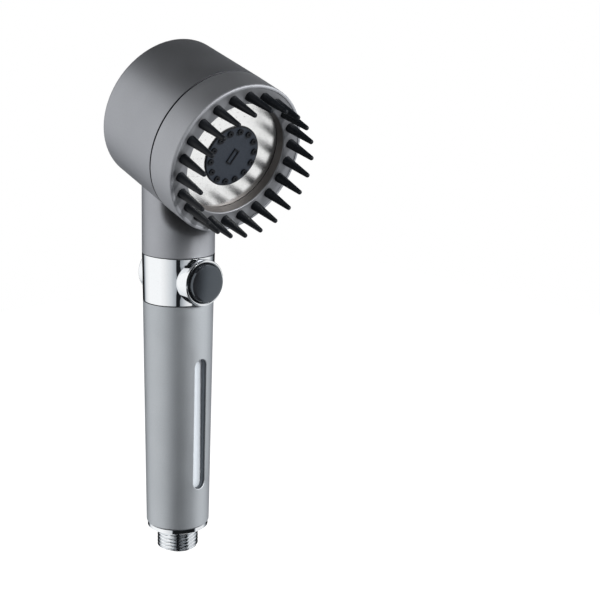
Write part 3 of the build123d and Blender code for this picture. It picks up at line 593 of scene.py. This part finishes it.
def disc_rubber(colour, black_and_edge_shade, sizes):
    """Slate rubber of the nozzle disc, black on its nozzles and its boss, and the same black
    painted round its edge as shade of the gap by the plate.
    """
    material = soft_silicone("disc_rubber", colour)
    tree = material.node_tree
    place = place_group(tree, "Head place")
    proud = soft_step(tree, place["Front"],
                      *(height - sizes.disc_depth for height in NOZZLE_HEIGHTS))
    # Painted shade: the nozzles' black round the disc's edge, for the shadow gap between the disc
    # and the plate.
    edge = soft_step(tree, place["Radius"],
                     *(sizes.disc_radius - margin for margin in DISC_EDGE_SHADE_MARGINS))
    overlay(material, proud, black_and_edge_shade)
    overlay(material, edge, black_and_edge_shade)
    return material


def filter_felt(colour):
    """Soft white felt of blown fibres."""
    return textured("filter_felt", colour, flecks=(1400, 0.05), marks=(0.8, 0.95, 300),
                    bump=(0.35, 0.1 * MM), IOR=1.3)


def moulded_plastic(name, colour, rough, index=1.5, gloss=(1, 1, 1)):
    """Moulded plastic with a spark-eroded grain and a tint in its gloss."""
    return textured(name, colour, flecks=(3200, 0.06), marks=(rough, rough + 0.08, 90),
                    bump=(0.1, 0.03 * MM), IOR=index, Specular_Tint=(*gloss, 1))


def seal_rubber(colour):
    """Plain black sealing rubber."""
    return textured("seal_rubber", colour, flecks=(1800, 0.2), marks=(0.5, 0.65, 150),
                    bump=(0.12, 0.04 * MM), IOR=1.5)


def bright_steel(name, colour, rough):
    """Steel with fine turned rings about the spray axis."""
    material = textured(name, colour, flecks=(1500, 0.03), marks=(*rough, 110),
                        bump=(0.02, 0.02 * MM), Metallic=1.0)
    tree = material.node_tree
    normal = tree.nodes["Principled BSDF"].inputs["Normal"]
    radius = place_group(tree, "Head place")["Radius"]
    rings = add_node(tree, "ShaderNodeTexNoise",
                     {"W": calculate(tree, "MULTIPLY", radius, STEEL_LINES), "Detail": 2.0},
                     noise_dimensions="1D")
    brushed = add_node(tree, "ShaderNodeBump",
                       {"Strength": 0.05, "Distance": 0.02 * MM, "Height": rings.outputs["Fac"],
                        "Normal": normal.links[0].from_socket})
    tree.links.new(brushed.outputs["Normal"], normal)
    return material


def clear_plastic():
    """Milky see-through plastic of the liner, with faint handling marks."""
    material, tree, shader = new_material("clear_plastic", IOR=1.49, Alpha=0.6,
                                          Base_Color=LINER_TINT)
    mark = place_group(tree, "Handling marks", {"Low": 0.04, "High": 0.09, "Scale": 80})
    tree.links.new(mark["Roughness"], shader.inputs["Roughness"])
    return material


def dress(material, *nodes):
    """Gives CAD nodes a finish."""
    for node in nodes:
        mesh = frame["nodes"][node].data
        mesh.materials.clear()
        mesh.materials.append(material)


def turned_piece(name, sections, closed, sharp, material, body, place=Matrix()):
    """A piece through sections set evenly round the Z axis, each of (radius, height) points.

    Closed sections make a ring. Open ones start and end near the axis, where flat caps close them.
    """
    count, points = len(sections), len(sections[0])
    verts = []
    for step, section in enumerate(sections):
        angle = math.tau * step / count
        verts += [(radius * math.cos(angle), radius * math.sin(angle), height)
                  for radius, height in section]
    faces = []
    for step in range(count):
        here, there = step * points, (step + 1) % count * points
        for point in range(points if closed else points - 1):
            after = (point + 1) % points
            faces.append((here + point, there + point, there + after, here + after))
    if not closed:
        faces.append([step * points for step in reversed(range(count))])
        faces.append([step * points + points - 1 for step in range(count)])
    mesh = bpy.data.meshes.new(name)
    mesh.from_pydata(verts, [], faces)
    mesh.transform(place)
    mesh.materials.append(material)
    mesh.shade_smooth()
    mesh.set_sharp_from_angle(angle=math.radians(sharp))
    piece = bpy.data.objects.new(name, mesh)
    bpy.context.scene.collection.objects.link(piece)
    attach(piece, body)
    return piece


class HANDSET_OT_painted_shell(bpy.types.Operator):
    """Paint the drum, the mode ring and the handle"""

    bl_idname = "handset.painted_shell"
    bl_label = "Painted shell"

    def execute(self, context):
        finishes = context.scene.handset_finishes
        sizes = context.scene.handset_sizes
        drum = satin_paint("head_paint", finishes.head_paint)
        dress(finish_edges(drum, finishes.seam, sizes), "head_shell")
        dress(ring_paint(finishes.ring_paint, finishes.ring_face_shade, finishes.seam, finishes.funnel,
                         sizes), "front_ring")
        dress(grip_paint(finishes.handle_paint, finishes.window_edge_shade, finishes.window_wall_shade, sizes),
              "handle_tube")
        return {"FINISHED"}


def valve_place():
    """The valve's frame: its Z axis runs forward out of the middle of the stop button."""
    low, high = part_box("stop_button")
    return (Matrix.Translation((0, 0, (low[2] + high[2]) / 2))
            @ Matrix.Rotation(math.radians(RIGHT_ANGLE), 4, "X"))


def bead_section(sizes):
    """Rounded outline of the bead on the front cup's lip."""
    lip = -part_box("stop_button")[0][1] - sizes.button_rise
    middle = (sizes.bead_outside + sizes.bead_inside) / 2
    half = (sizes.bead_outside - sizes.bead_inside) / 2
    outline = [(sizes.bead_inside, lip - sizes.bead_height),
               (sizes.bead_outside, lip - sizes.bead_height)]
    for step in range(BEAD_ARC_STEPS + 1):
        turn = math.pi * step / BEAD_ARC_STEPS
        outline.append((middle + half * math.cos(turn), lip + sizes.bead_height * math.sin(turn)))
    return outline


class HANDSET_OT_chrome_collar(bpy.types.Operator):
    """Plate the collar with chrome and bead its front cup"""

    bl_idname = "handset.chrome_collar"
    bl_label = "Chrome collar"

    def execute(self, context):
        plate = chrome_plate(context.scene.handset_finishes.chrome)
        dress(plate, "chrome_collar")
        sections = [bead_section(context.scene.handset_sizes)] * BEAD_TURN_STEPS
        turned_piece("cup_bead", sections, closed=True, sharp=METAL_SHARP, material=plate,
                     body="handset", place=valve_place())
        return {"FINISHED"}


class HANDSET_OT_massage_comb(bpy.types.Operator):
    """Finish the soft bristles"""

    bl_idname = "handset.massage_comb"
    bl_label = "Massage comb"

    def execute(self, context):
        dress(soft_silicone("comb_silicone", context.scene.handset_finishes.silicone),
              "massage_comb")
        return {"FINISHED"}


class HANDSET_OT_spray_face(bpy.types.Operator):
    """Finish the steel plate and the nozzle disc"""

    bl_idname = "handset.spray_face"
    bl_label = "Spray face"

    def execute(self, context):
        finishes = context.scene.handset_finishes
        dress(bright_steel("polished_plate", finishes.steel, PLATE_ROUGH), "spray_plate")
        dress(disc_rubber(finishes.disc, finishes.nozzle, context.scene.handset_sizes),
              "nozzle_disc")
        return {"FINISHED"}


def button_section(sizes):
    """Outline of the stop button from the middle of its back to the middle of its face."""
    low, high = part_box("stop_button")
    radius, front, back = high[0], -low[1], -high[1]
    skirt, face = radius + sizes.button_flare, radius - sizes.button_edge
    inside = front - sizes.button_crown - sizes.button_skin
    hollow = radius - sizes.button_skin
    bulge = (radius ** 2 + sizes.button_crown ** 2) / (2 * sizes.button_crown)
    rim = front - bulge + math.sqrt(bulge ** 2 - face ** 2)
    outline = [(sizes.button_pole, inside), (sizes.button_stem, inside), (sizes.button_stem, back),
               (sizes.button_socket, back), (sizes.button_socket, inside), (hollow, inside),
               (hollow, back), (skirt, back), (skirt, front - sizes.button_rise),
               (radius, rim - sizes.button_bevel)]
    for step in range(CAP_CROWN_STEPS + 1):
        reach = face + (sizes.button_pole - face) * step / CAP_CROWN_STEPS
        outline.append((reach, front - bulge + math.sqrt(bulge ** 2 - reach ** 2)))
    return outline


class HANDSET_OT_buttons(bpy.types.Operator):
    """Turn the stop button and finish the release button"""

    bl_idname = "handset.buttons"
    bl_label = "Buttons"

    def execute(self, context):
        plastic = moulded_plastic("button_plastic", context.scene.handset_finishes.button,
                                  BUTTON_ROUGH, BUTTON_INDEX, BUTTON_GLOSS)
        dress(plastic, "release_button")
        sections = [button_section(context.scene.handset_sizes)] * CAP_TURN_STEPS
        button = turned_piece("stop_cap", sections, closed=False, sharp=CAP_SHARP,
                              material=plastic, body="stop_spool",
                              place=valve_place())
        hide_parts("stop_button")
        return {"FINISHED"}


class HANDSET_OT_filter(bpy.types.Operator):
    """Finish the filter, its caps and the clear liner"""

    bl_idname = "handset.filter"
    bl_label = "Filter"

    def execute(self, context):
        finishes = context.scene.handset_finishes
        dress(clear_plastic(), "clear_liner")
        dress(moulded_plastic("cap_plastic", finishes.inner, INNER_ROUGH),
              "filter_cap_lower", "filter_cap_upper")
        dress(filter_felt(finishes.filter), "filter_core")
        return {"FINISHED"}


def thread_height(turn):
    """Share of the thread's depth at a place along its pitch, with rounded crests and roots."""
    return min(1.0, max(0.0, 0.5 + THREAD_FULLNESS * math.cos(math.tau * turn)))


def inlet_section(angle, sizes):
    """Outline of the hose inlet at an angle round it, as (radius, height)."""
    low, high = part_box("inlet_fitting")
    handle_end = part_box("handle_tube")[0][2]
    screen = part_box("inlet_screen")
    flange, edge = high[0], sizes.shoulder_edge
    seat = screen[1][0] + sizes.screen_gap
    root = sizes.thread_radius - sizes.thread_depth
    start = sizes.thread_radius - sizes.thread_lead
    outline = [(sizes.inlet_bore, low[2])]
    length = -low[2] - sizes.thread_relief
    steps = round(length / sizes.thread_pitch * THREAD_STEPS)
    for step in range(steps + 1):
        rise = length * step / steps
        height = thread_height(rise / sizes.thread_pitch - angle / math.tau)
        fade = min(1.0, (steps - step) / THREAD_FADE_STEPS)
        outline.append((min(root + sizes.thread_depth * height * fade, start + rise),
                        low[2] + rise))
    return outline + [
        (root, 0), (flange - edge, 0), (flange, edge), (flange, handle_end - edge),
        (flange - edge, handle_end), (sizes.spigot_radius, handle_end),
        (sizes.spigot_radius, high[2]), (seat, high[2]), (seat, screen[0][2]),
        (sizes.inlet_bore, screen[0][2])]


class HANDSET_OT_hose_inlet(bpy.types.Operator):
    """Cut the hose thread on the inlet and finish its screen"""

    bl_idname = "handset.hose_inlet"
    bl_label = "Hose inlet"

    def execute(self, context):
        finishes = context.scene.handset_finishes
        sections = [inlet_section(math.tau * step / INLET_TURN_STEPS, context.scene.handset_sizes)
                    for step in range(INLET_TURN_STEPS)]
        inlet = turned_piece("threaded_inlet", sections, closed=True, sharp=METAL_SHARP,
                             material=bpy.data.materials["chrome_plate"], body="handset")
        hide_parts("inlet_fitting")
        dress(bright_steel("fastener_steel", finishes.steel, FASTENER_ROUGH), "inlet_screen")
        return {"FINISHED"}


class HANDSET_OT_inner_works(bpy.types.Operator):
    """Finish the pieces inside the head and the collar"""

    bl_idname = "handset.inner_works"
    bl_label = "Inner works"

    def execute(self, context):
        finishes = context.scene.handset_finishes
        dress(moulded_plastic("inner_plastic", finishes.inner, INNER_ROUGH),
              "diverter_seat", "rotor", "valve_body", "valve_spool")
        dress(bpy.data.materials["fastener_steel"],
              "seat_screws", "ring_screws", "pivot_screw", "seal_spring", "thrust_washer")
        dress(seal_rubber(finishes.seal), "seat_o_ring", "port_seal", "plate_gasket",
              "neck_o_ring", "handle_o_ring", "spool_o_rings", "liner_gaskets")
        return {"FINISHED"}


def camera_matrix():
    """The camera's place and turn, with its roll about the line of sight."""
    forward = (CAMERA_AIM - CAMERA_PLACE).normalized()
    right = forward.cross(Vector((0, 0, 1))).normalized()
    up = right.cross(forward)
    rolled_right = math.cos(CAMERA_ROLL) * right + math.sin(CAMERA_ROLL) * up
    rolled_up = math.cos(CAMERA_ROLL) * up - math.sin(CAMERA_ROLL) * right
    turn = Matrix((rolled_right, rolled_up, -forward)).transposed()
    return Matrix.Translation(CAMERA_PLACE) @ turn.to_4x4()


def shown_ray(tree):
    """A value of 1 for rays that show a background: straight, mirrored or refracted ones."""
    path = add_node(tree, "ShaderNodeLightPath").outputs
    mirrored = calculate(tree, "MAXIMUM", path["Is Camera Ray"], path["Is Glossy Ray"])
    return calculate(tree, "MAXIMUM", mirrored, path["Is Transmission Ray"])


def white_world(fill):
    """White to the eye and in reflections, and an even fill light on matt surfaces."""
    world = bpy.data.worlds.new("studio")
    world.use_nodes = True
    tree = world.node_tree
    strength = map_range(tree, shown_ray(tree), {"To Min": fill, "To Max": 1.0})
    background = tree.nodes["Background"]
    background.inputs["Color"].default_value = WHITE
    tree.links.new(strength, background.inputs["Strength"])
    return world


def floor_material():
    """White floor that looks white where no shadow falls."""
    material, tree, shader = new_material("floor_white", Roughness=0.9, IOR=1.3,
                                          Emission_Color=WHITE)
    noise = add_node(tree, "ShaderNodeTexNoise", {"Vector": own_place(tree), "Scale": 3.0})
    low, high = FLOOR_PALE
    pale = map_range(tree, noise.outputs["Fac"], {"To Min": low, "To Max": high})
    tree.links.new(pale, shader.inputs["Base Color"])
    lift = calculate(tree, "MULTIPLY", shown_ray(tree), FLOOR_LIFT)
    tree.links.new(lift, shader.inputs["Emission Strength"])
    return material


def turn_ramp(tree, turn, stops):
    """A grey that follows the angle round in degrees, from (angle, brightness) stops."""
    share = map_range(tree, turn, {"From Min": -HALF_TURN, "From Max": HALF_TURN})
    ramp = add_node(tree, "ShaderNodeValToRGB", {"Fac": share})
    elements = ramp.color_ramp.elements
    while len(elements) < len(stops):
        elements.new(0.5)
    for element, (angle, grey) in zip(elements, stops):
        element.position = (angle + HALF_TURN) / (2 * HALF_TURN)
        element.color = (grey, grey, grey, 1)
    return ramp.outputs["Color"]


def angle_ramp(tree, turn, stops):
    """An angle up, in degrees, that follows the angle round."""
    shares = [(angle, (value + RIGHT_ANGLE) / (2 * RIGHT_ANGLE)) for angle, value in stops]
    return map_range(tree, turn_ramp(tree, turn, shares), {"To Min": -RIGHT_ANGLE,
                                                           "To Max": RIGHT_ANGLE})


def past_edge(tree, value, edge):
    """A soft step from 0 to 1 where a value passes an edge."""
    return soft_step(tree, calculate(tree, "SUBTRACT", value, edge), -TENT_EDGE, TENT_EDGE)


def tent_material():
    """Cloth that glows, with its brightness and its edges set by the angles round and up."""
    material = bpy.data.materials.new("tent_cloth")
    material.use_nodes = True
    tree = material.node_tree
    tree.nodes.remove(tree.nodes["Principled BSDF"])
    towards = vector_math(tree, "NORMALIZE", {0: own_place(tree)})["Vector"]
    parts = add_node(tree, "ShaderNodeSeparateXYZ", {0: towards}).outputs
    turn = calculate(tree, "DEGREES", calculate(tree, "ARCTAN2", parts["Y"], parts["X"]))
    rise = calculate(tree, "DEGREES", calculate(tree, "ARCSINE", parts["Z"]))
    over_bottom = past_edge(tree, rise, angle_ramp(tree, turn, TENT_BOTTOM))
    under_top = past_edge(tree, angle_ramp(tree, turn, TENT_TOP), rise)
    band = calculate(tree, "MULTIPLY", over_bottom, under_top)
    cloth = calculate(tree, "MULTIPLY", band, turn_ramp(tree, turn, TENT_BRIGHT))
    low = calculate(tree, "MULTIPLY", past_edge(tree, TENT_LOW_EDGE, rise),
                    turn_ramp(tree, turn, TENT_LOW))
    whole = calculate(tree, "MAXIMUM", calculate(tree, "MAXIMUM", cloth, low), TENT_DARK)
    tint = mix(tree, "RGBA", whole, (*TENT_SHADE, 1), WHITE)
    glow = add_node(tree, "ShaderNodeEmission", {"Color": tint, "Strength": whole})
    tree.links.new(glow.outputs[0], tree.nodes["Material Output"].inputs["Surface"])
    return material


def studio_place(turn, rise, distance):
    """A place at an angle round from the camera and an angle up, seen from the head."""
    towards = (CAMERA_PLACE - FRONT_CENTRE).to_2d().normalized()
    across = Vector((-towards.y, towards.x))
    turn, rise = math.radians(turn), math.radians(rise)
    level = math.cos(turn) * towards + math.sin(turn) * across
    return FRONT_CENTRE + distance * Vector((*(math.cos(rise) * level), math.sin(rise)))


class HANDSET_OT_stage(bpy.types.Operator):
    """Set up the floor, the tent, the flag, the lamps and the camera"""

    bl_idname = "handset.stage"
    bl_label = "Stage"

    def execute(self, context):
        scene = context.scene
        stage = scene.handset_stage
        scene.view_settings.view_transform = "Standard"
        scene.world = white_world(stage.fill)
        self.floor(stage)
        self.tent(stage)
        self.flag(stage)
        self.lamp(scene, "key_lamp", studio_place(*KEY_PLACE), KEY_SIZE, stage.key_power,
                  in_reflections=True)
        self.lamp(scene, "fill_lamp", studio_place(*FILL_PLACE), FILL_SIZE, stage.fill_power,
                  in_reflections=False)
        camera = bpy.data.objects.new("camera", bpy.data.cameras.new("camera"))
        scene.collection.objects.link(camera)
        camera.matrix_world = camera_matrix()
        camera.data.lens = CAMERA_LENS
        camera.data.sensor_width = CAMERA_SENSOR
        scene.camera = camera
        return {"FINISHED"}

    def floor(self, stage):
        """A plain white floor well below the part, which is held and not stood up."""
        bpy.ops.mesh.primitive_plane_add(size=stage.floor_size, location=(0, 0, stage.floor_height))
        floor = bpy.context.object
        floor.name = "floor"
        floor.data.materials.append(floor_material())

    def tent(self, stage):
        """The tent, whose own X axis points at the camera, is seen in reflections alone."""
        centre = (Vector(CAD_BOX[0]) + Vector(CAD_BOX[1])) / 2
        bpy.ops.mesh.primitive_uv_sphere_add(segments=TENT_SEGMENTS, ring_count=TENT_RINGS,
                                             radius=stage.tent_radius, location=centre)
        tent = bpy.context.object
        tent.name = "tent"
        towards = CAMERA_PLACE - centre
        tent.rotation_euler = (0, 0, math.atan2(towards.y, towards.x))
        tent.data.materials.append(tent_material())
        self.reflect_only(tent)

    def flag(self, stage):
        """A black flag under the head keeps the tent's light off the top of the neck. It is a
        painted shadow of the head, seen in reflections alone.
        """
        facing = math.atan2(CAMERA_PLACE.y, CAMERA_PLACE.x)
        verts = []
        for turn, *heights in FLAG_EDGES:
            angle = facing + math.radians(turn)
            verts += [(stage.flag_radius * math.cos(angle), stage.flag_radius * math.sin(angle),
                       height * MM) for height in heights]
        faces = [(low, low + 2, low + 3, low + 1) for low in range(0, len(verts) - 2, 2)]
        mesh = bpy.data.meshes.new("flag")
        mesh.from_pydata(verts, [], faces)
        material, _, _ = new_material("flag_black", Base_Color=FLAG_BLACK, Roughness=1.0, IOR=1.0)
        mesh.materials.append(material)
        flag = bpy.data.objects.new("flag", mesh)
        bpy.context.scene.collection.objects.link(flag)
        self.reflect_only(flag)

    def reflect_only(self, item):
        """The item shows in reflections and nowhere else."""
        item.visible_camera = False
        item.visible_diffuse = False
        item.visible_transmission = False
        item.visible_shadow = False

    def lamp(self, scene, name, place, size, power, in_reflections):
        """A soft square lamp aimed at the head."""
        data = bpy.data.lights.new(name, "AREA")
        data.size = size
        data.energy = power
        lamp = bpy.data.objects.new(name, data)
        scene.collection.objects.link(lamp)
        lamp.location = place
        lamp.rotation_euler = (place - FRONT_CENTRE).to_track_quat("Z", "Y").to_euler()
        lamp.visible_glossy = in_reflections


OPERATORS = (HANDSET_OT_painted_shell, HANDSET_OT_chrome_collar, HANDSET_OT_massage_comb,
             HANDSET_OT_spray_face, HANDSET_OT_buttons, HANDSET_OT_filter,
             HANDSET_OT_hose_inlet, HANDSET_OT_inner_works, HANDSET_OT_stage)


class VIEW3D_PT_handset(bpy.types.Panel):
    """Lists the sizes, the finishes, the settings of the stage and the steps"""

    bl_label = "Handset"
    bl_idname = "VIEW3D_PT_handset"
    bl_space_type = "VIEW_3D"
    bl_region_type = "UI"
    bl_category = "Handset"

    def draw(self, context):
        for group in (context.scene.handset_sizes, context.scene.handset_finishes,
                      context.scene.handset_stage):
            for name in group.__annotations__:
                self.layout.prop(group, name)
        for operator in OPERATORS:
            self.layout.operator(operator.bl_idname)


GROUPS = {"handset_sizes": HandsetSizes, "handset_finishes": HandsetFinishes,
          "handset_stage": HandsetStage}


def register():
    """Registers the classes and gives the scene its settings."""
    for kind in (*GROUPS.values(), *OPERATORS, VIEW3D_PT_handset):
        bpy.utils.register_class(kind)
    for name, kind in GROUPS.items():
        setattr(bpy.types.Scene, name, bpy.props.PointerProperty(type=kind))


def unregister():
    """Takes the settings and the classes away again."""
    for name in GROUPS:
        delattr(bpy.types.Scene, name)
    for kind in (VIEW3D_PT_handset, *reversed(OPERATORS), *GROUPS.values()):
        bpy.utils.unregister_class(kind)


def main():
    """Builds every piece and the stage."""
    register()
    for operator in OPERATORS:
        group, step = operator.bl_idname.split(".")
        getattr(getattr(bpy.ops, group), step)()


if __name__ == "__main__":
    main()
